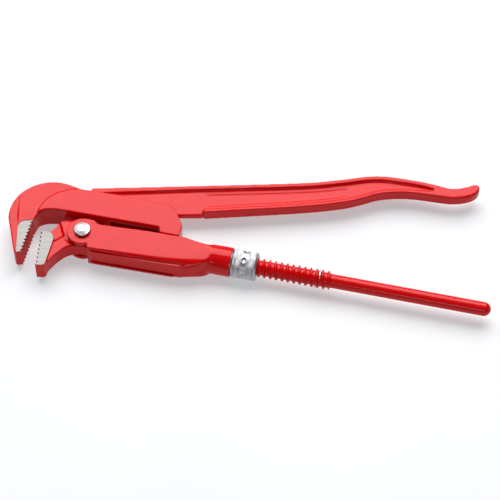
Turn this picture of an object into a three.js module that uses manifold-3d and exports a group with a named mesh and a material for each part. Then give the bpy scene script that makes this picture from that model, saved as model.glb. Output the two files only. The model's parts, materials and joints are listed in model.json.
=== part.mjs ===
// Swedish-pattern pipe wrench with 90 degree jaws, 1 inch size, lying on its side.
// Millimetres. +X runs from the jaws to the handle ends, +Z is the thickness of the tool.
// Everything is drawn about the pivot rivet in the middle plane; the group is lifted at the end
// so that the origin is the bottom centre of the whole tool.
import * as THREE from "three";
import { mergeVertices } from "three/addons/utils/BufferGeometryUtils.js";
import Module from "manifold-3d";

const wasm = await Module();
wasm.setup();

// ---------------------------------------------------------------- driving dimensions
const CLEARANCE = 0.3; // running gap between pieces that touch on the real tool
const ROUND_STEPS = 28; // facets of a full circle

// upper leg, in the plan of the tool, measured from the pivot
const HANDLE_END = 263.4;
const HANDLE_HALF = 4.2; // half thickness over the flanges
const WEB_HALF = 2.2; // half thickness of the web between the flanges
const LOWER_FLANGE_START = 79; // where the lower flange begins, right of the cheek
const UPPER_FLANGE = 3.2;
const LOWER_FLANGE = 2.5;
const CHEEK_HALF = 8.8;
const HEAD_HALF = 7.8;
const HEAD_REACH = 49.8; // pivot to the back of the fixed jaw
const FIXED_TOOTH_COUNT = 9;
const TONGUE_HALF = 2.5; // tongue that carries the pivot, in the middle plane
const TONGUE_BACK = 13;
const EYE_RADIUS = 6.4;
const POCKET_HALF = 4.2; // pocket milled in the underside of the cheek
const POCKET_DEPTH = 9;
const UNDERSIDE_V = 13.7; // underside of the cheek, across the rod's direction

// lower leg, in the frame of its rod: u along the rod, v across it
const LEG_ANGLE = THREE.MathUtils.degToRad(12.75); // rod against the upper leg, legs squeezed
const ROD_AXIS_V = 2.8; // rod axis above the pivot
const ROD_END = 269.9;
const ROD_RADIUS = 4.6;
const SHANK_HALF = 5;
const SHOULDER_HALF = SHANK_HALF + 0.6; // thicker root between the shank and the jaw
const SHANK_TOP = 7.5;
const SHANK_HORN = 8.4; // top of the shank where it leaves the jaw
const SHANK_BOTTOM = -9.7;
const SHANK_END = 60;
const JAW_HALF = 7.4;
const JAW_TIP_V = -31.5;
const MOVING_TOOTH_COUNT = 8;
const TOOTH_DEPTH = 1.4;

// thread of the rod
const PITCH = 3.9;
const CREST_RADIUS = 6.25;
const ROOT_RADIUS = 4.9;
const CREST_WIDTH = 0.7;
const FLANK_WIDTH = 0.75;
const THREAD_END = 165.5;
const LAST_CREST = 162.9; // middle of the last crest, on the side of the upper leg
const THREAD_STEPS = 16; // facets of one turn

// sleeve
const SLEEVE_HALF = 9;
const SLEEVE_COVER = 0.75; // sleeve above the crests of the rod, with their clearance
const SLEEVE_TOP = ROD_AXIS_V + CREST_RADIUS + SLEEVE_COVER;
const SLEEVE_BOTTOM = -12.6;
const SLEEVE_START = 6;
const LUG_RADIUS = 10.3;
const NECK_START = 84;
const NECK_END = 99.6;

// adjusting nut and its retaining ring
const SPIGOT_WALL = 1.75; // wall of the nut's spigot outside the rod's crest
const SPIGOT_RADIUS = CREST_RADIUS + SPIGOT_WALL;
const SPIGOT_LENGTH = 7.5;
const NUT_SHOULDER = 1.35; // step from the spigot out to the knurled body
const NUT_RADIUS = SPIGOT_RADIUS + NUT_SHOULDER;
const NUT_LENGTH = 16.7;
const NUT_CHAMFER = 0.8;
const RING_SINK = 0.35; // how far the ring's bore lies below the spigot's surface
const RING_INNER = SPIGOT_RADIUS - RING_SINK;
const RING_THICKNESS = 1;
const RING_OUTER = RING_INNER + RING_THICKNESS;
const RING_WIDTH = 1;
const NECK_WALL = 1.15; // wall of the sleeve's neck outside the ring
const NECK_RADIUS = RING_OUTER + NECK_WALL;
const STOP_WIRE_RADIUS = 0.5;
const STOP_RING_TURN = 0.75; // part of a turn that the stop ring covers
const STOP_RING_TURNS_FROM_END = 2.4; // from the last crest back to the ring's far end

// pivot rivet
const RIVET_RADIUS = 3.5;
const RIVET_HEAD_OVERHANG = 1.85; // head beyond the shank
const RIVET_HEAD_RADIUS = RIVET_RADIUS + RIVET_HEAD_OVERHANG;
const RIVET_RIM = 2;
const RIVET_DOME = 1.3;
const COUNTERSINK_DEPTH = 2;

// travel of the jaw, used to size the slots it needs
const JAW_CLOSING = 4;
const JAW_OPENING = 6.5;
const TONGUE_SWEEP = 7.5; // extra room in the slot for the tongue as it swings

// ---------------------------------------------------------------- materials
const red = new THREE.MeshStandardMaterial({ color: 0xc4101c, roughness: 0.38, metalness: 0 });
const zinc = new THREE.MeshStandardMaterial({ color: 0xc9ccd0, roughness: 0.35, metalness: 1 });
const steel = new THREE.MeshStandardMaterial({ color: 0xd4d6d9, roughness: 0.25, metalness: 1 });

// ---------------------------------------------------------------- solids
function solid(geometry) {
  const bare = geometry.clone();
  bare.deleteAttribute("normal");
  bare.deleteAttribute("uv");
  const merged = mergeVertices(bare, 1e-4);
  return new wasm.Manifold(
    new wasm.Mesh({
      numProp: 3,
      vertProperties: new Float32Array(merged.attributes.position.array),
      triVerts: new Uint32Array(merged.index.array),
    }),
  );
}

function geometryOf(manifold) {
  const mesh = manifold.getMesh();
  const geometry = new THREE.BufferGeometry();
  geometry.setAttribute("position", new THREE.BufferAttribute(mesh.vertProperties, 3));
  geometry.setIndex(new THREE.BufferAttribute(mesh.triVerts, 1));
  geometry.computeVertexNormals();
  return geometry;
}

// A flat outline given thickness between two heights.
function slab(shape, low, high, curveSegments = 10) {
  const geometry = new THREE.ExtrudeGeometry(shape, {
    depth: high - low,
    bevelEnabled: false,
    curveSegments,
  });
  return solid(geometry.translate(0, 0, low));
}

function plate(shape, half, curveSegments) {
  return slab(shape, -half, half, curveSegments);
}

function box(fromX, toX, fromY, toY, fromZ, toZ) {
  const geometry = new THREE.BoxGeometry(toX - fromX, toY - fromY, toZ - fromZ);
  return solid(geometry.translate((fromX + toX) / 2, (fromY + toY) / 2, (fromZ + toZ) / 2));
}

// A turned piece on the rod's axis: profile points are [u, radius].
function turned(profile, steps = ROUND_STEPS) {
  const points = profile.map(([u, radius]) => new THREE.Vector2(radius, u));
  const geometry = new THREE.LatheGeometry(points, steps);
  geometry.rotateZ(-Math.PI / 2);
  return solid(geometry.translate(0, ROD_AXIS_V, 0));
}

// A turned piece on the pivot's axis: profile points are [z, radius].
function pivotTurned(profile) {
  const points = profile.map(([z, radius]) => new THREE.Vector2(radius, z));
  const geometry = new THREE.LatheGeometry(points, ROUND_STEPS);
  return solid(geometry.rotateX(Math.PI / 2));
}

function pivotHole(radius, low, high) {
  return pivotTurned([[low, 0], [low, radius], [high, radius], [high, 0]]);
}

function polygon(points) {
  return new THREE.Shape(points.map(([x, y]) => new THREE.Vector2(x, y)));
}

// A point given along and across the rod, in the plan of the upper leg.
function fromRod(u, v) {
  return [
    u * Math.cos(LEG_ANGLE) + v * Math.sin(LEG_ANGLE),
    -u * Math.sin(LEG_ANGLE) + v * Math.cos(LEG_ANGLE),
  ];
}

// Turns of the helix, with enough run-out past both ends of the thread to be cut off square.
const HELIX_TURNS = Math.ceil((THREAD_END - SHANK_END) / PITCH) + 3;
const HELIX_START = LAST_CREST - PITCH * (HELIX_TURNS - 2) - PITCH / 2;

// Saw teeth from one point to another: gullets lie to the left of the line.
function teeth(from, to, count) {
  const start = new THREE.Vector2(...from);
  const along = new THREE.Vector2(...to).sub(start).divideScalar(count);
  const inward = new THREE.Vector2(-along.y, along.x).setLength(TOOTH_DEPTH);
  const points = [];
  for (let i = 0; i < count; i++) {
    const tip = start.clone().addScaledVector(along, i);
    const gullet = tip.clone().addScaledVector(along, 0.3).add(inward);
    points.push([tip.x, tip.y], [gullet.x, gullet.y]);
  }
  points.push(to);
  return points;
}

// A threaded bar: its flanks follow one right-hand helix, closed by a fan at each end.
// The middle of the first crest stands at HELIX_START + PITCH / 2.
function threadBar(crest, root, crestWidth) {
  const half = crestWidth / 2;
  const profile = [
    [PITCH / 2 - half - FLANK_WIDTH, root],
    [PITCH / 2 - half, crest],
    [PITCH / 2 + half, crest],
    [PITCH / 2 + half + FLANK_WIDTH, root],
  ];
  const lastPoint = profile.length - 1;
  const lastStep = HELIX_TURNS * THREAD_STEPS;
  const positions = [];
  for (let i = 0; i <= lastStep; i++) {
    const angle = (2 * Math.PI * i) / THREAD_STEPS;
    const start = HELIX_START + (PITCH * i) / THREAD_STEPS;
    for (const [offset, radius] of profile) {
      positions.push(start + offset, radius * Math.cos(angle) + ROD_AXIS_V, radius * Math.sin(angle));
    }
  }
  const at = (step, point) => step * profile.length + point;
  const index = [];
  const quad = (a, b, c, d) => index.push(a, c, b, a, d, c);
  for (let i = 0; i < lastStep; i++) {
    const next = i + THREAD_STEPS;
    for (let p = 0; p < lastPoint; p++) quad(at(i, p), at(i, p + 1), at(i + 1, p + 1), at(i + 1, p));
    if (next < lastStep) quad(at(i, lastPoint), at(next, 0), at(next + 1, 0), at(i + 1, lastPoint));
  }
  const startLoop = [];
  for (let i = 0; i <= THREAD_STEPS; i++) startLoop.push(at(i, 0));
  for (let p = lastPoint; p > 0; p--) startLoop.push(at(0, p));
  const endLoop = [];
  for (let i = lastStep - THREAD_STEPS; i <= lastStep; i++) endLoop.push(at(i, lastPoint));
  for (let p = lastPoint - 1; p >= 0; p--) endLoop.push(at(lastStep, p));
  const startCentre = positions.length / 3;
  const endCentre = startCentre + 1;
  positions.push(HELIX_START + PITCH / 2, ROD_AXIS_V, 0);
  positions.push(HELIX_START + PITCH * HELIX_TURNS + PITCH / 2, ROD_AXIS_V, 0);
  startLoop.forEach((a, i) => index.push(startCentre, startLoop[(i + 1) % startLoop.length], a));
  endLoop.forEach((a, i) => index.push(endCentre, a, endLoop[(i + 1) % endLoop.length]));
  const vertProperties = new Float32Array(positions);
  const triVerts = new Uint32Array(index);
  return new wasm.Manifold(new wasm.Mesh({ numProp: 3, vertProperties, triVerts }));
}

// ---------------------------------------------------------------- upper leg
// Plan outline of the hook head: round back, fixed jaw with saw teeth, underside of the hook.
function headShape() {
  const tip = [-39, -15.6];
  const root = [-33.1, 9.6];
  const shape = new THREE.Shape();
  shape.moveTo(-1, 30);
  shape.lineTo(-1, 34.8);
  shape.bezierCurveTo(-10.5, 39.2, -19, 45, -33.5, 39);
  shape.bezierCurveTo(-44, 33.5, -HEAD_REACH, 25, -HEAD_REACH, 13.5);
  shape.lineTo(-44.8, -12);
  shape.quadraticCurveTo(-44.2, -15.9, -42.5, -16);
  for (const [x, y] of teeth(tip, root, FIXED_TOOTH_COUNT)) shape.lineTo(x, y);
  shape.lineTo(-30.6, 15);
  shape.quadraticCurveTo(-28, 18.2, -22, 18.3);
  shape.lineTo(-1, 17);
  return shape;
}

// Plan outline of the thick cheek: its underside runs parallel to the sleeve, and the foot at
// its right end rests on the sleeve when the legs are squeezed.
function cheekShape() {
  const footBottom = SLEEVE_TOP + CLEARANCE;
  const shape = new THREE.Shape();
  shape.moveTo(-30.4, 16);
  shape.bezierCurveTo(-28, 26, -20, 34, -5, 35.2);
  shape.quadraticCurveTo(6, 33.5, 21, 30.2);
  shape.lineTo(52, 22.9);
  shape.bezierCurveTo(59, 21, 60.5, 18, 62.3, 13.1);
  shape.lineTo(65.2, 5.2);
  shape.lineTo(...fromRod(62.6, footBottom));
  shape.lineTo(...fromRod(49.4, footBottom));
  shape.lineTo(...fromRod(48.2, UNDERSIDE_V + 0.8));
  shape.lineTo(...fromRod(-20.5, UNDERSIDE_V));
  shape.lineTo(-22, 18.3);
  shape.quadraticCurveTo(-27, 18.3, -30.4, 16);
  return shape;
}

// The handle narrows to a curved tail; its edges are measured back from the handle end.
function handleEdges(topInset, bottomInset, startX) {
  const top = [
    [-257.4, 39.1],
    [-194, 40.9],
    [-120, 43.5],
    [-93.5, 46.2],
    [-68, 49.4],
    [-42, 45.3],
    [-20.5, 39.3],
  ];
  const bottom = [
    [-20.5, 30.6],
    [-42, 34.8],
    [-55.6, 35.6],
    [-68.3, 34.2],
    [-81, 30],
    [-94, 26.8],
    [-120.5, 23.5],
  ];
  const place = (inset) => ([x, y]) => new THREE.Vector2(Math.max(HANDLE_END + x, startX), y + inset);
  const flangeStart = new THREE.Vector2(LOWER_FLANGE_START, 19 + bottomInset);
  return { top: top.map(place(-topInset)), bottom: [...bottom.map(place(bottomInset)), flangeStart] };
}

function handleShape() {
  const startX = 0;
  const { top, bottom } = handleEdges(0, 0, startX);
  const shape = new THREE.Shape();
  shape.moveTo(startX, 18);
  shape.lineTo(startX, 34.8);
  shape.lineTo(2, 34.8);
  shape.lineTo(4.5, 39.1);
  shape.splineThru(top.slice(1));
  shape.quadraticCurveTo(HANDLE_END - 14, 38.2, HANDLE_END - 4.5, 42.2);
  shape.bezierCurveTo(HANDLE_END - 2, 43.2, HANDLE_END, 42, HANDLE_END, 39.8);
  shape.bezierCurveTo(HANDLE_END, 34, HANDLE_END - 9, 30.2, HANDLE_END - 20.5, 30.6);
  shape.splineThru(bottom.slice(1));
  shape.lineTo(LOWER_FLANGE_START - 1.6, 18);
  return shape;
}

// Pocket of the I-section: it runs out through the lower edge just right of the cheek.
function handlePocketShape() {
  const pocketStart = 7;
  const openFrom = 52;
  const pocketEnd = HANDLE_END - 30.5;
  const { top, bottom } = handleEdges(UPPER_FLANGE, LOWER_FLANGE, pocketStart);
  const shape = new THREE.Shape();
  shape.moveTo(openFrom, 10);
  shape.lineTo(openFrom, 20);
  shape.lineTo(pocketStart, 35);
  shape.splineThru(top.slice(1, 6));
  shape.quadraticCurveTo(pocketEnd - 2, 39.6, pocketEnd, 37.8);
  shape.quadraticCurveTo(pocketEnd - 2, 35.6, HANDLE_END - 42, 37.3);
  shape.splineThru(bottom.slice(2));
  shape.lineTo(LOWER_FLANGE_START, 10);
  return shape;
}

// Tongue that reaches down between the cheeks of the sleeve and carries the pivot.
function tongueShape() {
  const shape = new THREE.Shape();
  shape.moveTo(-TONGUE_BACK, 22);
  shape.lineTo(-TONGUE_BACK, 13);
  shape.quadraticCurveTo(-TONGUE_BACK, 8, -TONGUE_BACK + 6, 5);
  shape.lineTo(-EYE_RADIUS, 0);
  shape.absarc(0, 0, EYE_RADIUS, Math.PI, 2 * Math.PI, false);
  shape.lineTo(EYE_RADIUS + 2, 6);
  shape.lineTo(EYE_RADIUS + 5, 22);
  return shape;
}

function upperLeg() {
  const pocket = handlePocketShape();
  const pocketTop = slab(pocket, WEB_HALF, CHEEK_HALF);
  const pocketBottom = slab(pocket, -CHEEK_HALF, -WEB_HALF);
  const underPocket = polygon([
    fromRod(EYE_RADIUS + 8, 10),
    fromRod(47, 10),
    fromRod(47, UNDERSIDE_V + POCKET_DEPTH),
    fromRod(EYE_RADIUS + 8, UNDERSIDE_V + POCKET_DEPTH),
  ]);
  return plate(handleShape(), HANDLE_HALF)
    .subtract(pocketTop)
    .subtract(pocketBottom)
    .add(plate(headShape(), HEAD_HALF))
    .add(plate(cheekShape(), CHEEK_HALF))
    .subtract(plate(underPocket, POCKET_HALF))
    .add(plate(tongueShape(), TONGUE_HALF))
    .subtract(pivotHole(RIVET_RADIUS + CLEARANCE, -CHEEK_HALF, CHEEK_HALF));
}

// ---------------------------------------------------------------- lower leg
function jawShape() {
  const tipLeft = [-23, JAW_TIP_V];
  const topLeft = [-27, -5.3];
  const shape = new THREE.Shape();
  shape.moveTo(...topLeft);
  for (const [x, y] of teeth(topLeft, tipLeft, MOVING_TOOTH_COUNT)) shape.lineTo(x, y);
  shape.lineTo(-19.4, JAW_TIP_V + 0.3);
  shape.quadraticCurveTo(-17.6, JAW_TIP_V + 0.6, -17.2, JAW_TIP_V + 3);
  shape.lineTo(-17.2, -9.5);
  shape.quadraticCurveTo(-17.6, -5.2, -22, -4);
  return shape;
}

function shankShape() {
  const shape = new THREE.Shape();
  shape.moveTo(-22.5, -20);
  shape.lineTo(-22.5, -3.4);
  shape.quadraticCurveTo(-18.2, -1, -17.4, SHANK_HORN - 1);
  shape.lineTo(-10.7, SHANK_HORN);
  shape.lineTo(-8, SHANK_TOP);
  shape.lineTo(SHANK_END, SHANK_TOP);
  shape.lineTo(SHANK_END, SHANK_BOTTOM);
  shape.lineTo(0, SHANK_BOTTOM);
  shape.bezierCurveTo(-8, -10.5, -13, -18, -17.2, JAW_TIP_V + 3);
  return shape;
}

// Root of the jaw: it ends short of the lug of the sleeve and steps down to the shank there.
function shoulderShape() {
  const shape = new THREE.Shape();
  shape.moveTo(-22.5, -20);
  shape.lineTo(-22.5, -3.4);
  shape.quadraticCurveTo(-18.6, -1.4, -17.9, 5);
  shape.lineTo(-13.4, -3.6);
  shape.quadraticCurveTo(-12, -6.4, -9, -8.2);
  shape.lineTo(-4.5, -10.1);
  shape.bezierCurveTo(-9, -11.5, -13.2, -18.5, -17.2, JAW_TIP_V + 3);
  return shape;
}

function roundSlot(fromU, toU, radius) {
  const shape = new THREE.Shape();
  shape.absarc(fromU, 0, radius, Math.PI / 2, (3 * Math.PI) / 2, false);
  shape.absarc(toU, 0, radius, -Math.PI / 2, Math.PI / 2, false);
  return shape;
}

function lowerLeg() {
  const tongueGap = EYE_RADIUS + CLEARANCE;
  const tongueSide = TONGUE_HALF + CLEARANCE;
  const gapStart = -JAW_OPENING - tongueGap - TONGUE_SWEEP;
  const gapEnd = JAW_CLOSING + tongueGap + TONGUE_SWEEP / 2;
  const tongueSlot = box(gapStart, gapEnd, -tongueGap, SHANK_HORN + 1, -tongueSide, tongueSide);
  const rivetSlot = plate(roundSlot(-JAW_OPENING, JAW_CLOSING, RIVET_RADIUS + CLEARANCE), JAW_HALF);
  const threadLimits = turned([
    [SHANK_END - 1, 0],
    [SHANK_END - 1, CREST_RADIUS + 1],
    [THREAD_END, CREST_RADIUS + 1],
    [THREAD_END, 0],
  ]);
  const helix = threadBar(CREST_RADIUS, ROOT_RADIUS, CREST_WIDTH);
  const tip = [];
  for (let i = 0; i < 6; i++) {
    const angle = (Math.PI / 12) * i;
    tip.push([ROD_END - ROD_RADIUS + ROD_RADIUS * Math.sin(angle), ROD_RADIUS * Math.cos(angle)]);
  }
  const rod = turned([[SHANK_END - 1, 0], [SHANK_END - 1, ROD_RADIUS], ...tip, [ROD_END, 0]]);
  return plate(shankShape(), SHANK_HALF)
    .add(plate(shoulderShape(), SHOULDER_HALF))
    .add(plate(jawShape(), JAW_HALF))
    .subtract(tongueSlot)
    .subtract(rivetSlot)
    .add(helix.intersect(threadLimits))
    .add(rod);
}

// ---------------------------------------------------------------- sleeve
function sleeve() {
  const body = new THREE.Shape();
  body.moveTo(SLEEVE_START, SLEEVE_BOTTOM);
  body.lineTo(NECK_START - 14, SLEEVE_BOTTOM + 1.2);
  body.quadraticCurveTo(NECK_START - 5, SLEEVE_BOTTOM + 1.5, NECK_START + 2, -4.5);
  body.lineTo(NECK_START, 8.2);
  body.lineTo(NECK_START - 18, SLEEVE_TOP);
  body.lineTo(42, SLEEVE_TOP - 0.4);
  body.lineTo(10, 7.6);
  body.lineTo(7.8, 7.9);
  body.lineTo(5.2, LUG_RADIUS);
  body.lineTo(0, LUG_RADIUS);
  body.absarc(0, 0, LUG_RADIUS, Math.PI / 2, 2 * Math.PI - 1, false);
  const inner = SHANK_HALF + CLEARANCE;
  const over = SLEEVE_TOP + 1;
  const channelEnd = SHANK_END + JAW_OPENING + 1;
  const channel = box(0, channelEnd, SHANK_BOTTOM - CLEARANCE, over, -inner, inner);
  const lugInner = SHOULDER_HALF + CLEARANCE;
  const lugGap = box(-LUG_RADIUS - 1, SLEEVE_START, SLEEVE_BOTTOM - 1, over, -lugInner, lugInner);
  const boreStart = SHANK_END - JAW_CLOSING - 2;
  const bore = turned([
    [boreStart, 0],
    [boreStart, CREST_RADIUS + CLEARANCE],
    [NECK_END + 1, CREST_RADIUS + CLEARANCE],
    [NECK_END + 1, 0],
  ]);
  const neck = turned([
    [NECK_START, 0],
    [NECK_START, NECK_RADIUS],
    [NECK_END, NECK_RADIUS],
    [NECK_END, 0],
  ]);
  const spigotStart = NECK_END - SPIGOT_LENGTH;
  const ringMiddle = NECK_END - SPIGOT_LENGTH / 2;
  const socketRadius = SPIGOT_RADIUS + CLEARANCE;
  const grooveRadius = RING_OUTER + CLEARANCE;
  const grooveHalf = RING_WIDTH / 2 + CLEARANCE;
  const socket = turned([
    [spigotStart, 0],
    [spigotStart, socketRadius],
    [ringMiddle - grooveHalf, socketRadius],
    [ringMiddle - grooveHalf, grooveRadius],
    [ringMiddle + grooveHalf, grooveRadius],
    [ringMiddle + grooveHalf, socketRadius],
    [NECK_END + 1, socketRadius],
    [NECK_END + 1, 0],
  ]);
  const countersink = pivotTurned([
    [-SLEEVE_HALF - 1, 0],
    [-SLEEVE_HALF - 1, RIVET_RADIUS + COUNTERSINK_DEPTH + CLEARANCE * 2 + 1],
    [-SLEEVE_HALF + COUNTERSINK_DEPTH, RIVET_RADIUS + CLEARANCE * 2 - 0.1],
    [-SLEEVE_HALF + COUNTERSINK_DEPTH, 0],
  ]);
  return plate(body, SLEEVE_HALF)
    .subtract(channel)
    .subtract(lugGap)
    .add(neck)
    .subtract(bore)
    .subtract(socket)
    .subtract(pivotHole(RIVET_RADIUS + CLEARANCE, -SLEEVE_HALF - 1, SLEEVE_HALF + 1))
    .subtract(countersink);
}

// ---------------------------------------------------------------- adjusting nut
function adjustingNut() {
  const start = NECK_END + CLEARANCE;
  const end = start + NUT_LENGTH;
  const spigotStart = start - SPIGOT_LENGTH;
  const ringMiddle = NECK_END - SPIGOT_LENGTH / 2;
  const grooveHalf = RING_WIDTH / 2 + CLEARANCE;
  const grooveFloor = RING_INNER - CLEARANCE;
  const body = turned([
    [spigotStart, 0],
    [spigotStart, SPIGOT_RADIUS],
    [ringMiddle - grooveHalf, SPIGOT_RADIUS],
    [ringMiddle - grooveHalf, grooveFloor],
    [ringMiddle + grooveHalf, grooveFloor],
    [ringMiddle + grooveHalf, SPIGOT_RADIUS],
    [start, SPIGOT_RADIUS],
    [start, NUT_RADIUS - NUT_CHAMFER],
    [start + NUT_CHAMFER, NUT_RADIUS],
    [end - NUT_CHAMFER, NUT_RADIUS],
    [end, NUT_RADIUS - NUT_CHAMFER],
    [end, 0],
  ]);
  const crestWidth = CREST_WIDTH + 2 * CLEARANCE;
  return body.subtract(threadBar(CREST_RADIUS + CLEARANCE, ROOT_RADIUS + CLEARANCE, crestWidth));
}

function nutRetainingRing() {
  const middle = NECK_END - SPIGOT_LENGTH / 2;
  return turned([
    [middle - RING_WIDTH / 2, RING_INNER],
    [middle - RING_WIDTH / 2, RING_OUTER],
    [middle + RING_WIDTH / 2, RING_OUTER],
    [middle + RING_WIDTH / 2, RING_INNER],
    [middle - RING_WIDTH / 2, RING_INNER],
  ]);
}

// Open wire ring that lies in the thread groove and stops the nut before the thread ends.
class ThreadGroove extends THREE.Curve {
  getPoint(t, target = new THREE.Vector3()) {
    const radius = ROOT_RADIUS + CLEARANCE + STOP_WIRE_RADIUS;
    const turns = -STOP_RING_TURNS_FROM_END + STOP_RING_TURN * t;
    const angle = 2 * Math.PI * turns;
    const u = LAST_CREST + PITCH / 2 + PITCH * turns;
    return target.set(u, radius * Math.cos(angle) + ROD_AXIS_V, radius * Math.sin(angle));
  }
}

function threadStopRing() {
  const section = new THREE.Shape().absarc(0, 0, STOP_WIRE_RADIUS, 0, 2 * Math.PI, false);
  const geometry = new THREE.ExtrudeGeometry(section, {
    extrudePath: new ThreadGroove(),
    steps: 20,
    curveSegments: 4,
  });
  return solid(geometry);
}

// ---------------------------------------------------------------- pivot rivet
function pivotRivet() {
  const seat = SLEEVE_HALF + CLEARANCE;
  const back = -SLEEVE_HALF + 0.1;
  return pivotTurned([
    [back, 0],
    [back, RIVET_RADIUS + COUNTERSINK_DEPTH - 0.1],
    [-SLEEVE_HALF + COUNTERSINK_DEPTH, RIVET_RADIUS],
    [seat, RIVET_RADIUS],
    [seat, RIVET_HEAD_RADIUS],
    [seat + RIVET_RIM, RIVET_HEAD_RADIUS],
    [seat + RIVET_RIM + RIVET_DOME * 0.75, RIVET_HEAD_RADIUS * 0.55],
    [seat + RIVET_RIM + RIVET_DOME, 0],
  ]);
}

// ---------------------------------------------------------------- assembly
function named(name, manifold, material) {
  const mesh = new THREE.Mesh(geometryOf(manifold), material.clone());
  mesh.name = name;
  return mesh;
}

const lowerParts = new THREE.Group();
lowerParts.rotation.z = -LEG_ANGLE;
lowerParts.add(
  named("lower_leg", lowerLeg(), red),
  named("sleeve", sleeve(), red),
  named("adjusting_nut", adjustingNut(), zinc),
  named("nut_retaining_ring", nutRetainingRing(), steel),
  named("thread_stop_ring", threadStopRing(), steel),
  named("pivot_rivet", pivotRivet(), zinc),
);

const tool = new THREE.Group();
tool.add(named("upper_leg", upperLeg(), red), lowerParts);
tool.updateMatrixWorld(true);
const extent = new THREE.Box3().setFromObject(tool, true);
tool.position.set(-(extent.min.x + extent.max.x) / 2, -(extent.min.y + extent.max.y) / 2, -extent.min.z);

const wrench = new THREE.Group();
wrench.add(tool);

export default wrench;
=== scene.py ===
"""The looks of a 1 inch Swedish-pattern pipe wrench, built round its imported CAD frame.

Sizes are in millimetres about the pivot rivet, in the tool's middle plane, and become metres in
the frame where a mesh is made. "Plan" is the frame of the upper leg. "Rod" is the frame of the
threaded rod: u along it and v across it.
"""
import json
import math

import bmesh
import bpy
import numpy as np
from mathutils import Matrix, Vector
from mathutils.kdtree import KDTree


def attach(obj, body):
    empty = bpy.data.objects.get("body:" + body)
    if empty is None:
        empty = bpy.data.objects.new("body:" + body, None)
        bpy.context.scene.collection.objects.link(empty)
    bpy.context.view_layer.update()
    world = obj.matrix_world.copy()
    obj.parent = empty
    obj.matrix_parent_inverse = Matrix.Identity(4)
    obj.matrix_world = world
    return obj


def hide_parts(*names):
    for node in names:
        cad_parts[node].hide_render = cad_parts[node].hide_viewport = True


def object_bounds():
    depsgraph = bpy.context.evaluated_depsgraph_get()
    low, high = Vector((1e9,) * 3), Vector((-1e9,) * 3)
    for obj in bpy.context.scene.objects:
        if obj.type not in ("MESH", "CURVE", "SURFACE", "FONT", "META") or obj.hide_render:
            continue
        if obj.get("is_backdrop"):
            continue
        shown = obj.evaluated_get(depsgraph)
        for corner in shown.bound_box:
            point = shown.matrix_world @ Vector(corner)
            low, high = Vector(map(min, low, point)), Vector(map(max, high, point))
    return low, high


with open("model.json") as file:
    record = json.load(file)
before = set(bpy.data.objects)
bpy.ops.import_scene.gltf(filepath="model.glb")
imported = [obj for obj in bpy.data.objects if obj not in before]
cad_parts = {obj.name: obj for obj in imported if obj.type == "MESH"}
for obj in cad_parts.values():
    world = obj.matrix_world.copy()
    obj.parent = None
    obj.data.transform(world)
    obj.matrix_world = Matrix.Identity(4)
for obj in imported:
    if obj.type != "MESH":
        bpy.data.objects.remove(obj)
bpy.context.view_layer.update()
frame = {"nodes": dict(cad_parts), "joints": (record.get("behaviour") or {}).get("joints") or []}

MM = 0.001
JOINTS = {joint["name"]: joint for joint in frame["joints"]}
PIVOT = np.array(JOINTS["leg_pivot"]["pos_m"])
ALONG = np.array(JOINTS["jaw_slide"]["axis"])
ACROSS = np.array([-ALONG[1], ALONG[0], 0.0])

# upper leg, as on its CAD node
HEAD_HALF = 7.8
HANDLE_HALF = 4.2
WEB_HALF = 2.2
HANDLE_END = 263.4
HEAD_CREASE_X = -43.35

# both jaws
GRIND_DEPTH = 0.3
CUTTER_REACH = 2

# lower leg and its rod
JAW_HALF = 7.4
SHANK_END = 60.0
ROD_AXIS_V = 2.8
ROD_END = 269.9
ROD_RADIUS = 4.6
PITCH = 3.9
CREST_RADIUS = 6.25
ROOT_RADIUS = 4.9
CREST_WIDTH = 0.7
FLANK_WIDTH = 0.75
THREAD_END = 165.5
LAST_CREST = 162.9

# sleeve, nut, rings and rivet
SLEEVE_HALF = 9.0
SLEEVE_START = 6.0
SLEEVE_VOXEL = 0.36
FLAT_LEDGE_Z = 6.3
FORGING_LINE_Z = -4.1
NECK_START = 84.0
NECK_END = 99.6
NUT_GAP = 0.3
NUT_RADIUS = 9.35
NUT_LENGTH = 16.7
SPIGOT_RADIUS = 8.0
SPIGOT_LENGTH = 7.5
RIVET_RADIUS = 3.5
RIVET_HEAD_RADIUS = 5.35


# ---------------------------------------------------------------- frames and meshes
def from_plan(points):
    return np.asarray(points, float) * MM + PIVOT


def to_plan(points):
    return (np.asarray(points, float) - PIVOT) / MM


def from_rod(points):
    """Rod millimetres (u, v, z) to metres in the frame."""
    points = np.asarray(points, float)
    flat = points[:, :1] * ALONG + points[:, 1:2] * ACROSS
    flat[:, 2] += points[:, 2]
    return flat * MM + PIVOT


def to_rod(points):
    plan = to_plan(points)
    return np.column_stack([plan @ ALONG, plan @ ACROSS, plan[:, 2]])


def smooth_step(value):
    t = np.clip(value, 0.0, 1.0)
    return t * t * (3 - 2 * t)


def points_of(mesh):
    points = np.empty(len(mesh.vertices) * 3)
    mesh.vertices.foreach_get("co", points)
    return points.reshape(-1, 3)


def move_points(mesh, points):
    mesh.vertices.foreach_set("co", np.ascontiguousarray(points, dtype=np.float32).ravel())
    mesh.update()


def new_object(name, points, faces):
    mesh = bpy.data.meshes.new(name)
    mesh.from_pydata([tuple(p) for p in points], [], faces)
    mesh.update()
    piece = bpy.data.objects.new(name, mesh)
    bpy.context.scene.collection.objects.link(piece)
    return piece


def prism(name, outline, low, high, place=from_plan):
    """A flat outline given thickness between two heights."""
    count = len(outline)
    points = [(x, y, low) for x, y in outline] + [(x, y, high) for x, y in outline]
    faces = [tuple(reversed(range(count))), tuple(range(count, 2 * count))]
    faces += [(i, (i + 1) % count, (i + 1) % count + count, i + count) for i in range(count)]
    piece = new_object(name, place(points), faces)
    outward(piece.data)
    return piece


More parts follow.
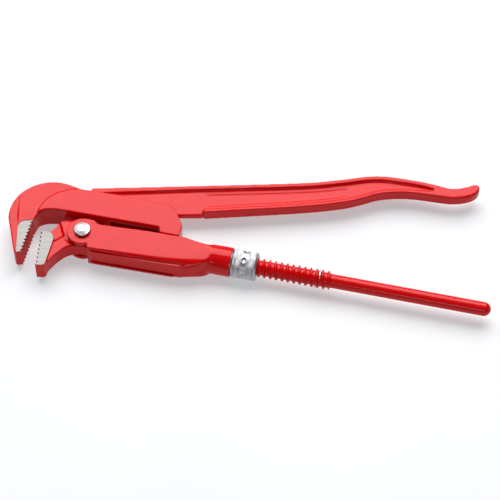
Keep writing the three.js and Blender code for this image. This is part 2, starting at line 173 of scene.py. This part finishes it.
def outward(mesh):
    """Turns the faces outwards and splits those with more than four corners."""
    work = bmesh.new()
    work.from_mesh(mesh)
    bmesh.ops.recalc_face_normals(work, faces=work.faces)
    bmesh.ops.triangulate(work, faces=[face for face in work.faces if len(face.verts) > 4])
    work.to_mesh(mesh)
    work.free()


def apply_modifiers(piece):
    graph = bpy.context.evaluated_depsgraph_get()
    fresh = bpy.data.meshes.new_from_object(piece.evaluated_get(graph))
    piece.modifiers.clear()
    piece.data = fresh
    return piece


def remove(piece):
    bpy.data.objects.remove(piece)


def combine(piece, other, operation):
    boolean = piece.modifiers.new("combine", "BOOLEAN")
    boolean.operation = operation
    boolean.solver = "MANIFOLD"
    boolean.object = other
    apply_modifiers(piece)
    remove(other)
    return piece


def cad_copy(name, node):
    piece = frame["nodes"][node].copy()
    piece.data = frame["nodes"][node].data.copy()
    piece.name = name
    piece.parent = None
    piece.data.materials.clear()
    for key in list(piece.keys()):
        del piece[key]
    bpy.context.scene.collection.objects.link(piece)
    work = bmesh.new()
    work.from_mesh(piece.data)
    bmesh.ops.remove_doubles(work, verts=work.verts, dist=1e-6)
    work.to_mesh(piece.data)
    work.free()
    return piece


def voxel_skin(piece, size):
    """Gives a solid an even skin of small quads, so that its edges can be rounded."""
    remesh = piece.modifiers.new("skin", "REMESH")
    remesh.mode = "VOXEL"
    remesh.voxel_size = size * MM
    remesh.adaptivity = 0
    return apply_modifiers(piece)


def relax(mesh, rounds, weight):
    """Moves each point towards the middle of its neighbours, which rounds the edges."""
    points = points_of(mesh)
    edges = np.empty(len(mesh.edges) * 2, np.int32)
    mesh.edges.foreach_get("vertices", edges)
    a, b = edges.reshape(-1, 2).T
    count = len(points)
    degree = np.maximum(np.bincount(a, minlength=count) + np.bincount(b, minlength=count), 1)
    share = 0.5 * np.broadcast_to(weight, count)
    for _ in range(rounds):
        for axis in range(3):
            line = points[:, axis]
            total = np.bincount(a, line[b], count) + np.bincount(b, line[a], count)
            points[:, axis] = line + share * (total / degree - line)
    move_points(mesh, points)


def grid_object(name, rings, closed_rows=False):
    """Rings of points joined into a skin; without closed_rows each end is capped."""
    rows, around = rings.shape[:2]
    faces = []
    for row in range(rows if closed_rows else rows - 1):
        here = row * around
        there = (row + 1) % rows * around
        for i in range(around):
            j = (i + 1) % around
            faces.append((here + i, there + i, there + j, here + j))
    if not closed_rows:
        faces.append(tuple(range(around)))
        faces.append(tuple(reversed(range((rows - 1) * around, rows * around))))
    piece = new_object(name, rings.reshape(-1, 3), faces)
    outward(piece.data)
    return piece


def turned_rings(stations, radius, around):
    """Rings about the rod's axis. radius(u, angle) takes and gives arrays."""
    angle = np.linspace(0, 2 * math.pi, around, endpoint=False)
    u, a = np.meshgrid(stations, angle, indexing="ij")
    r = radius(u, a)
    rings = np.stack([u, ROD_AXIS_V + r * np.cos(a), r * np.sin(a)], axis=-1)
    return from_rod(rings.reshape(-1, 3)).reshape(rings.shape)


def arc(middle, radius, start, end, steps):
    angles = np.radians(np.linspace(start, end, steps))
    return [(middle[0] + radius * math.cos(t), middle[1] + radius * math.sin(t)) for t in angles]


# ---------------------------------------------------------------- materials
def new_material(name):
    material = bpy.data.materials.new(name)
    material.use_nodes = True
    return material, material.node_tree, material.node_tree.nodes["Principled BSDF"]


def noise(tree, scale, detail=3.0, stretch=(1, 1, 1), turn=0.0):
    """A noise texture in object space; scale is in cells a metre."""
    where = tree.nodes.new("ShaderNodeTexCoord")
    mapping = tree.nodes.new("ShaderNodeMapping")
    mapping.inputs["Scale"].default_value = stretch
    mapping.inputs["Rotation"].default_value = (0, 0, turn)
    texture = tree.nodes.new("ShaderNodeTexNoise")
    texture.inputs["Scale"].default_value = scale
    texture.inputs["Detail"].default_value = detail
    tree.links.new(where.outputs["Object"], mapping.inputs["Vector"])
    tree.links.new(mapping.outputs["Vector"], texture.inputs["Vector"])
    return texture.outputs["Fac"]


def ramp(tree, source, low, high, start=0.35, end=0.65):
    node = tree.nodes.new("ShaderNodeValToRGB")
    node.color_ramp.elements[0].position = start
    node.color_ramp.elements[1].position = end
    node.color_ramp.elements[0].color = (*low, 1)
    node.color_ramp.elements[1].color = (*high, 1)
    tree.links.new(source, node.inputs["Fac"])
    return node.outputs["Color"]


def spread(tree, source, low, high):
    node = tree.nodes.new("ShaderNodeMapRange")
    node.inputs["To Min"].default_value = low
    node.inputs["To Max"].default_value = high
    tree.links.new(source, node.inputs["Value"])
    return node.outputs["Result"]


def bump(tree, shader, heights):
    """Stacks bumps; heights holds (source, depth in metres, strength)."""
    normal = None
    for source, depth, strength in heights:
        node = tree.nodes.new("ShaderNodeBump")
        node.inputs["Strength"].default_value = strength
        node.inputs["Distance"].default_value = depth
        tree.links.new(source, node.inputs["Height"])
        if normal:
            tree.links.new(normal, node.inputs["Normal"])
        normal = node.outputs["Normal"]
    tree.links.new(normal, shader.inputs["Normal"])


def powder_coat():
    material, tree, shader = new_material("red_powder_coat")
    colour = ramp(tree, noise(tree, 90, 4), (0.56, 0.002, 0.003), (0.60, 0.003, 0.005))
    tree.links.new(colour, shader.inputs["Base Color"])
    tree.links.new(spread(tree, noise(tree, 260, 4), 0.12, 0.20), shader.inputs["Roughness"])
    shader.inputs["Specular IOR Level"].default_value = 0.21
    orange_peel = noise(tree, 620, 2)
    forging = noise(tree, 110, 3)
    bump(tree, shader, [(forging, 0.0004, 0.10), (orange_peel, 0.00012, 0.16)])
    return material


def ground_steel():
    material, tree, shader = new_material("ground_steel")
    lines = noise(tree, 900, 3, stretch=(0.05, 1.6, 1), turn=0.35)
    colour = ramp(tree, lines, (0.19, 0.185, 0.178), (0.27, 0.265, 0.255))
    tree.links.new(colour, shader.inputs["Base Color"])
    tree.links.new(spread(tree, lines, 0.48, 0.62), shader.inputs["Roughness"])
    shader.inputs["Metallic"].default_value = 0.85
    bump(tree, shader, [(lines, 0.0001, 0.25)])
    return material


def zinc_plate():
    material, tree, shader = new_material("zinc_plate")
    cloud = noise(tree, 300, 4)
    colour = ramp(tree, cloud, (0.44, 0.445, 0.46), (0.56, 0.565, 0.58))
    tree.links.new(colour, shader.inputs["Base Color"])
    tree.links.new(spread(tree, noise(tree, 700, 3), 0.34, 0.46), shader.inputs["Roughness"])
    shader.inputs["Metallic"].default_value = 1.0
    bump(tree, shader, [(noise(tree, 2500, 2), 0.00005, 0.2)])
    return material


def bright_steel():
    material, tree, shader = new_material("bright_steel")
    cloud = noise(tree, 500, 3)
    colour = ramp(tree, cloud, (0.42, 0.41, 0.425), (0.52, 0.51, 0.525))
    tree.links.new(colour, shader.inputs["Base Color"])
    tree.links.new(spread(tree, noise(tree, 1500, 3), 0.36, 0.48), shader.inputs["Roughness"])
    shader.inputs["Metallic"].default_value = 1.0
    bump(tree, shader, [(noise(tree, 900, 3), 0.00006, 0.2)])
    return material


def spring_steel():
    material, tree, shader = new_material("spring_steel")
    drawn = noise(tree, 1600, 2)
    colour = ramp(tree, drawn, (0.80, 0.79, 0.78), (0.90, 0.89, 0.88))
    tree.links.new(colour, shader.inputs["Base Color"])
    tree.links.new(spread(tree, drawn, 0.25, 0.4), shader.inputs["Roughness"])
    shader.inputs["Metallic"].default_value = 1.0
    bump(tree, shader, [(drawn, 0.00004, 0.2)])
    return material


RED = powder_coat()
GROUND = ground_steel()
ZINC = zinc_plate()
BRIGHT = bright_steel()
SPRING = spring_steel()


# ---------------------------------------------------------------- shared finishing
def finish_piece(piece, body, material, nodes):
    if not piece.data.materials:
        piece.data.materials.append(material)
    for face in piece.data.polygons:
        face.use_smooth = True
    piece.data.set_sharp_from_angle(angle=math.radians(34))
    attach(piece, body)
    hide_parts(*nodes)
    return piece


def grind(piece, outline, half, place):
    """Grinds both flats of a jaw down to bare steel inside an outline."""
    level = half - GRIND_DEPTH
    combine(piece, prism("grind_top", outline, level, half + CUTTER_REACH, place), "DIFFERENCE")
    combine(piece, prism("grind_back", outline, -half - CUTTER_REACH, -level, place), "DIFFERENCE")
    piece.data.materials.clear()
    piece.data.materials.append(RED)
    piece.data.materials.append(GROUND)
    for face in piece.data.polygons:
        height = abs((face.center.z - PIVOT[2]) / MM)
        if abs(height - level) < 0.01 and abs(face.normal.z) > 0.99:
            face.material_index = 1
    return piece


# ---------------------------------------------------------------- upper leg
def pocket_distance(plan):
    """Distance of each point in the handle's pockets from the nearest flange wall."""
    x, level = plan[:, 0], np.abs(plan[:, 2])
    pocket_start = 8
    pocket_end = HANDLE_END - 24
    wall_foot = WEB_HALF + 0.8
    inside = (x > pocket_start) & (x < pocket_end)
    wall = inside & (level > wall_foot) & (level < HANDLE_HALF - 0.5)
    low = inside & (level < wall_foot) & (level > WEB_HALF - 0.3)
    tree = KDTree(int(wall.sum()))
    for i, (wall_x, wall_y, _) in enumerate(plan[wall]):
        tree.insert((wall_x, wall_y, 0), i)
    tree.balance()
    distance = np.full(len(plan), 99.0)
    distance[low] = [tree.find((px, py, 0))[2] for px, py, _ in plan[low]]
    return distance, low


def shape_handle(plan):
    """Rounds the foot of the flanges into the web and sinks a plain panel in the web."""
    cove_width = 1.5
    cove_rise = 1.0
    panel_start = 80.0
    panel_end = 175.0
    panel_margin = 3.1
    panel_depth = 0.5
    panel_edge = 0.6
    distance, low = pocket_distance(plan)
    level = np.abs(plan[:, 2])
    rise = cove_rise * np.clip(1 - distance / cove_width, 0, 1) ** 1.5
    x = plan[:, 0]
    along = smooth_step((x - panel_start) / panel_edge) * smooth_step((panel_end - x) / panel_edge)
    panel = panel_depth * along * smooth_step((distance - panel_margin) / panel_edge)
    shaped = np.maximum(level, WEB_HALF + rise) - panel
    plan[:, 2] = np.where(low, np.sign(plan[:, 2]) * shaped, plan[:, 2])
    return plan


def shape_head(plan):
    """The rim of the head slopes down from a crease that runs beside the fixed jaw."""
    slope = math.tan(math.radians(9))
    drop = np.clip(HEAD_CREASE_X - plan[:, 0], 0, None) * slope
    plan[:, 2] *= 1 - drop / HEAD_HALF
    return plan


def groove(points, start, end, width, depth, surface):
    """Presses a line into both flats, no deeper than surface above the middle plane."""
    start, end = np.array(start), np.array(end)
    line = end - start
    share = np.clip((points[:, :2] - start) @ line / (line @ line), 0, 1)
    nearest = start + share[:, None] * line
    distance = np.hypot(*(points[:, :2] - nearest).T)
    press = depth * (1 - smooth_step(distance / width))
    level = np.abs(points[:, 2])
    pressed = np.maximum(level - press, np.minimum(level, surface))
    points[:, 2] = np.sign(points[:, 2]) * pressed
    return points


def cut_jaw(piece, start, end, count, outline, half, place):
    """Grinds a jaw's flats and cuts saw teeth from start to end, with the solid on the left."""
    depth = 1.4
    steep = 0.3  # share of a tooth that its steep side takes
    proud = 0.2
    rooted = 3
    clear = 5
    start, end = np.array(start), np.array(end)
    along = (end - start) / count
    inward = np.array([-along[1], along[0]]) / np.hypot(*along)
    outer = [start - proud * inward, end - proud * inward]
    block = [*outer, end + rooted * inward, start + rooted * inward]
    combine(piece, prism("tooth_block", block, -half, half, place), "UNION")
    grind(piece, outline, half, place)
    profile = [start - clear * inward - along, start - along + proud * inward]
    for i in range(count):
        profile += [start + i * along, start + (i + steep) * along + depth * inward]
    profile += [end, end - clear * inward]
    reach = half + CUTTER_REACH
    combine(piece, prism("tooth_gap", profile, -reach, reach, place), "DIFFERENCE")
    return piece


def upper_leg():
    tail_length = 40
    tail_blend = 25
    piece = voxel_skin(cad_copy("upper_leg_forging", "upper_leg"), size=0.45)
    plan = shape_head(shape_handle(to_plan(points_of(piece.data))))
    move_points(piece.data, from_plan(plan))
    relax(piece.data, rounds=7, weight=1.0)
    plan = to_plan(points_of(piece.data))
    plan = groove(plan, (-43.6, 29), (-43.1, 5), width=0.55, depth=0.5, surface=6)
    move_points(piece.data, from_plan(plan))
    tail = smooth_step((plan[:, 0] - (HANDLE_END - tail_length)) / tail_blend)
    relax(piece.data, rounds=26, weight=tail)
    top = arc((-37.4, 4.4), radius=5.4, start=180, end=92, steps=9)
    outline = [(-42.6, -20), *top, (-30, 10), (-26, 10), (-26, -20)]
    cut_jaw(piece, (-39, -15.6), (-33.1, 9.6), 9, outline, HEAD_HALF, from_plan)
    return finish_piece(piece, "handle_leg", RED, ["upper_leg"])


# ---------------------------------------------------------------- lower leg
def thread_height(u, angle):
    """0 in the groove to 1 on the crest of the right-hand thread."""
    turn = (u - LAST_CREST) / PITCH - angle / (2 * math.pi)
    from_crest = np.abs(turn - np.round(turn)) * PITCH
    soft = 0.12
    flank_end = CREST_WIDTH / 2 + FLANK_WIDTH
    return smooth_step((flank_end + soft - from_crest) / (FLANK_WIDTH + 2 * soft))


def rod_radius(u, angle):
    """The thread between its run-in and run-out, then the plain rod and its round end."""
    run_out = smooth_step((THREAD_END + 0.4 - u) / 1.2)
    run_in = smooth_step((u - SHANK_END + 1) / 0.8)
    thread = (CREST_RADIUS - ROOT_RADIUS) * thread_height(u, angle) * run_in
    core = ROD_RADIUS + (ROOT_RADIUS - ROD_RADIUS) * run_out
    end = np.clip((ROD_END - u) / ROD_RADIUS, 0, 1)
    dome = np.sqrt(np.clip(1 - (1 - end) ** 2, 0.0004, 1))
    return (core + thread * run_out) * dome


def rod():
    thread_step = 0.22
    around = 48
    threaded = np.arange(SHANK_END - 3, THREAD_END + 1.5, thread_step)
    plain = np.linspace(THREAD_END + 2, ROD_END - ROD_RADIUS, 40)
    end = ROD_END - ROD_RADIUS * (1 - np.sin(np.linspace(0, math.pi / 2, 12)[1:]))
    stations = np.concatenate([threaded, plain, end])
    return grid_object("rod", turned_rings(stations, rod_radius, around))


def lower_leg():
    piece = cad_copy("lower_leg_forging", "lower_leg")
    left, bottom, top, half = -45, -45, 25, 15
    shank_only = [(left, bottom), (SHANK_END, bottom), (SHANK_END, top), (left, top)]
    combine(piece, prism("shank_only", shank_only, -half, half, from_rod), "INTERSECT")
    voxel_skin(piece, size=0.35)
    relax(piece.data, rounds=8, weight=1.0)
    tongue_slot = 3.2
    points = to_rod(points_of(piece.data))
    points = groove(points, (-18.6, 8.4), (-11.6, -4.2), 0.6, 2.0, tongue_slot)
    points = groove(points, (-11.8, -4.4), (-16.9, -10.3), 0.55, 0.8, tongue_slot)
    move_points(piece.data, from_rod(points))
    relax(piece.data, rounds=1, weight=0.6)
    combine(piece, rod(), "UNION")
    outline = [(-32, -36), (-14, -36), (-14, -2), (-32, -2)]
    cut_jaw(piece, (-27, -5.3), (-23, -31.5), 8, outline, JAW_HALF, from_rod)
    return finish_piece(piece, "screw_leg", RED, ["lower_leg"])


# ---------------------------------------------------------------- sleeve
def sleeve_bottom(u):
    """Height of the sleeve's lower edge, which rises towards the neck."""
    return np.interp(u, [SLEEVE_START, NECK_START - 14, NECK_START - 4], [-12.6, -11.4, -10.4])


def round_sleeve(points):
    """Rounds the sleeve's long lower edges, from sharp at the lug to nearly round at the neck."""
    u, v, z = points.T
    radius = np.interp(u, [8, 25, 55, 80], [1.0, 1.8, 3.2, 6.5])
    side = np.sign(z)
    across = np.abs(z) - (SLEEVE_HALF - radius)
    down = sleeve_bottom(u) + radius - v
    reach = np.hypot(across, down)
    channel = (u > SLEEVE_START - 0.5) & (u < NECK_START)
    corner = (across > 0) & (down > 0) & (reach > radius) & channel
    scale = np.where(corner, radius / np.maximum(reach, 1e-6), 1)
    across = across * scale
    down = down * scale
    points[:, 2] = np.where(corner, side * (SLEEVE_HALF - radius + across), z)
    points[:, 1] = np.where(corner, sleeve_bottom(u) + radius - down, v)
    return points


def ledge_sleeve(points):
    """Two level ledges along the lower wall, under the near flat and at the forging line."""
    u, v, z = points.T
    past_lug = smooth_step((u - SLEEVE_START - 1.0) / 2.5)
    wall = smooth_step((sleeve_bottom(u) + 4.5 - v) / 1.5) * past_lug
    flat_ledge = 1.0 * (np.abs(z) < FLAT_LEDGE_Z) * smooth_step((NECK_START - 4 - u) / 12)
    forging_line = 0.9 * (z < FORGING_LINE_Z) * smooth_step((NECK_START - 18 - u) / 4)
    points[:, 1] = v - wall * (flat_ledge + forging_line * smooth_step((6.8 + z) / 1.5))
    near_flat = (wall > 0.5) & (np.abs(np.abs(z) - FLAT_LEDGE_Z) < SLEEVE_VOXEL)
    near_flat &= u < NECK_START - 8
    near_line = (wall > 0.5) & (np.abs(z - FORGING_LINE_Z) < SLEEVE_VOXEL)
    near_line &= u < NECK_START - 18
    level = np.where(near_flat, np.sign(z) * FLAT_LEDGE_Z, z)
    points[:, 2] = np.where(near_line, FORGING_LINE_Z, level)
    return points


def sleeve():
    piece = voxel_skin(cad_copy("sleeve_shell", "sleeve"), SLEEVE_VOXEL)
    points = round_sleeve(to_rod(points_of(piece.data)))
    move_points(piece.data, from_rod(points))
    u = points[:, 0]
    relax(piece.data, rounds=6, weight=1.0)
    points = ledge_sleeve(to_rod(points_of(piece.data)))
    move_points(piece.data, from_rod(points))
    blend = smooth_step((u - 68) / 8) * smooth_step((94 - u) / 6)
    reach = np.hypot(points[:, 1] - ROD_AXIS_V, points[:, 2])
    bore_clear = smooth_step((reach - 7.6) / 0.8)
    relax(piece.data, rounds=90, weight=blend * bore_clear)
    return finish_piece(piece, "sleeve", RED, ["sleeve"])


# ---------------------------------------------------------------- adjusting nut
def knurl(u, angle, teeth=54):
    """Height of a diamond knurl, from 0 to 1."""
    turn = angle * teeth / (2 * math.pi)
    lead = 1.25
    step = u / lead
    ridges = [1 - np.abs(2 * np.mod(turn + way * step, 1) - 1) for way in (1, -1)]
    return np.minimum(*ridges)


def nut_outer(u, angle):
    """Two knurled bands with a plain one between them, chamfered ends and six dimples."""
    knurl_depth = 0.36
    plain_depth = 0.25
    edge = 0.9
    start = NECK_END + NUT_GAP
    along = u - start
    band = smooth_step((along - edge) / 0.4) * smooth_step((NUT_LENGTH - edge - along) / 0.4)
    middle = smooth_step((2.0 - np.abs(along - NUT_LENGTH / 2)) / 0.3)
    depth = knurl_depth * band * (1 - middle) * (1 - knurl(u, angle))
    chamfer = np.clip(edge - along, 0, 1) + np.clip(edge - (NUT_LENGTH - along), 0, 1)
    dimples = 6
    turn = np.mod(angle * dimples / (2 * math.pi) + 0.75, 1) - 0.5
    sideways = turn * 2 * math.pi / dimples * NUT_RADIUS / 2.2
    lengthways = (along - NUT_LENGTH / 2) / 1.6
    dimple = 1.0 * np.clip(1 - sideways**2 - lengthways**2, 0, 1) ** 0.7
    return NUT_RADIUS - 0.02 - chamfer - depth - plain_depth * middle - dimple


def nut_inner(u, angle):
    clearance = 0.35
    thread = (CREST_RADIUS - ROOT_RADIUS) * thread_height(u, angle)
    return ROOT_RADIUS + clearance + thread


def adjusting_nut():
    around = 324
    outer_rows = 84
    inner_rows = 72
    groove_half = 0.8
    groove_bottom = SPIGOT_RADIUS - 0.65
    start = NECK_END + NUT_GAP
    end = start + NUT_LENGTH
    spigot_start = start - SPIGOT_LENGTH
    ring_groove = NECK_END - SPIGOT_LENGTH / 2
    spigot_profile = [
        (spigot_start, SPIGOT_RADIUS - 0.4),
        (spigot_start + 0.4, SPIGOT_RADIUS),
        (ring_groove - groove_half, SPIGOT_RADIUS),
        (ring_groove - groove_half, groove_bottom),
        (ring_groove + groove_half, groove_bottom),
        (ring_groove + groove_half, SPIGOT_RADIUS),
        (start, SPIGOT_RADIUS),
    ]
    angle = np.linspace(0, 2 * math.pi, around, endpoint=False)
    rings = []

    def ring(u, radius):
        r = np.broadcast_to(radius, around)
        v = ROD_AXIS_V + r * np.cos(angle)
        rings.append(np.column_stack([np.full(around, u), v, r * np.sin(angle)]))

    for u, radius in spigot_profile:
        ring(u, radius)
    for u in np.arange(start, end + 0.001, NUT_LENGTH / outer_rows):
        ring(u, nut_outer(np.full(around, u), angle))
    for u in np.arange(end, spigot_start - 0.001, -(NUT_LENGTH + SPIGOT_LENGTH) / inner_rows):
        ring(u, nut_inner(np.full(around, u), angle))
    rings = np.array(rings)
    placed = from_rod(rings.reshape(-1, 3)).reshape(rings.shape)
    piece = grid_object("knurled_nut", placed, closed_rows=True)
    return finish_piece(piece, "nut", ZINC, ["adjusting_nut"])


# ---------------------------------------------------------------- rings and rivet
def stop_ring():
    """Open wire ring in the thread groove, with round ends."""
    wire = 0.5
    end_rounding = (0.35, 0.8, 1.0)
    turns = np.linspace(-2.4, -1.65, 72)
    angle = 2 * math.pi * turns
    u = LAST_CREST + PITCH / 2 + PITCH * turns
    centre_radius = ROOT_RADIUS + 0.3 + wire
    rings = []
    for i, (station, a) in enumerate(zip(u, angle)):
        near_end = min(i, len(turns) - 1 - i)
        radius = wire * end_rounding[min(near_end, 2)]
        outward_v, outward_z = math.cos(a), math.sin(a)
        ring = []
        for t in np.linspace(0, 2 * math.pi, 12, endpoint=False):
            r = centre_radius + radius * math.cos(t)
            ring.append((station + radius * math.sin(t), ROD_AXIS_V + r * outward_v, r * outward_z))
        rings.append(ring)
    rings = np.array(rings)
    piece = grid_object("stop_wire", from_rod(rings.reshape(-1, 3)).reshape(rings.shape))
    return finish_piece(piece, "screw_leg", SPRING, ["thread_stop_ring"])


def rivet():
    """Domed head with a rolled rim on a plain shank, its far end flush in a countersink."""
    seat = SLEEVE_HALF + 0.3
    far = -SLEEVE_HALF
    rim = 2.0
    dome = 1.3
    roll = 0.7
    profile = [
        (far + 0.1, 0.02),
        (far + 0.1, RIVET_RADIUS + 1.7),
        (far + 0.3, RIVET_RADIUS + 1.75),
        (far + 2.1, RIVET_RADIUS),
        (seat, RIVET_RADIUS),
        (seat, RIVET_HEAD_RADIUS - 0.3),
        (seat + 0.3, RIVET_HEAD_RADIUS),
    ]
    for t in np.linspace(0, math.pi / 2, 8):
        height = seat + rim - roll * (1 - math.sin(t)) + 0.1
        profile.append((height, RIVET_HEAD_RADIUS - roll * (1 - math.cos(t))))
    top_radius = RIVET_HEAD_RADIUS - roll
    for share in np.linspace(1, 0, 12)[1:]:
        height = seat + rim + 0.1 + (dome - 0.15) * (1 - share**2)
        profile.append((height, max(top_radius * share, 0.02)))
    angle = np.linspace(0, 2 * math.pi, 96, endpoint=False)
    rings = np.array([[(r * math.cos(a), r * math.sin(a), z) for a in angle] for z, r in profile])
    piece = grid_object("rivet_pin", from_plan(rings.reshape(-1, 3)).reshape(rings.shape))
    return finish_piece(piece, "sleeve", BRIGHT, ["pivot_rivet"])


def dress_hidden_ring():
    """The nut's ring stays the CAD node itself, with a steel material."""
    ring = frame["nodes"]["nut_retaining_ring"]
    ring.data.materials.clear()
    ring.data.materials.append(SPRING)


# ---------------------------------------------------------------- stage
def floor():
    """A wide pale floor a hair below the tool, with a faint glow like a light table's."""
    low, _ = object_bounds()
    half = 4.0
    z = low.z - 0.0002
    corners = [(-half, -half, z), (half, -half, z), (half, half, z), (-half, half, z)]
    ground = new_object("floor", corners, [(0, 1, 2, 3)])
    material, tree, shader = new_material("pale_floor")
    colour = ramp(tree, noise(tree, 4, 2), (0.44, 0.44, 0.45), (0.47, 0.47, 0.47))
    tree.links.new(colour, shader.inputs["Base Color"])
    shader.inputs["Roughness"].default_value = 0.9
    shader.inputs["Specular IOR Level"].default_value = 0.1
    shader.inputs["Emission Color"].default_value = (0.94, 0.97, 1.0, 1)
    shader.inputs["Emission Strength"].default_value = 0.42
    ground.data.materials.append(material)
    ground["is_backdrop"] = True


def area_light(name, place, aim, size, power):
    data = bpy.data.lights.new(name, "AREA")
    data.shape = "RECTANGLE"
    data.size, data.size_y = size
    data.energy = power
    lamp = bpy.data.objects.new(name, data)
    bpy.context.scene.collection.objects.link(lamp)
    lamp.location = place
    lamp.rotation_euler = (Vector(aim) - Vector(place)).to_track_quat("-Z", "Y").to_euler()


def lights():
    world = bpy.data.worlds.new("studio")
    bpy.context.scene.world = world
    world.use_nodes = True
    background = world.node_tree.nodes["Background"]
    background.inputs["Color"].default_value = (1, 1, 1, 1)
    background.inputs["Strength"].default_value = 0.08
    area_light("overhead", (0.0, 0.95, 1.3), (0, 0, 0), size=(2.2, 1.5), power=58)
    area_light("front_strip", (0.0, -1.6, 0.78), (0, 0, 0), size=(0.9, 0.2), power=4.5)
    bpy.context.scene.view_settings.view_transform = "Standard"


def camera():
    """Looks along +Y from 54 degrees above the horizon, with a 15 degree field of view."""
    elevation = math.radians(54)
    distance = 1.2439
    aim = Vector(PIVOT) + Vector((0.1096, -0.0091, 0))
    data = bpy.data.cameras.new("camera")
    data.angle = math.radians(15)
    data.clip_end = 20
    view = bpy.data.objects.new("camera", data)
    bpy.context.scene.collection.objects.link(view)
    back = Vector((0, -math.cos(elevation), math.sin(elevation)))
    view.location = aim + back * distance
    view.rotation_euler = (-back).to_track_quat("-Z", "Y").to_euler()
    bpy.context.scene.camera = view


upper_leg()
lower_leg()
sleeve()
adjusting_nut()
stop_ring()
rivet()
dress_hidden_ring()
floor()
lights()
camera()
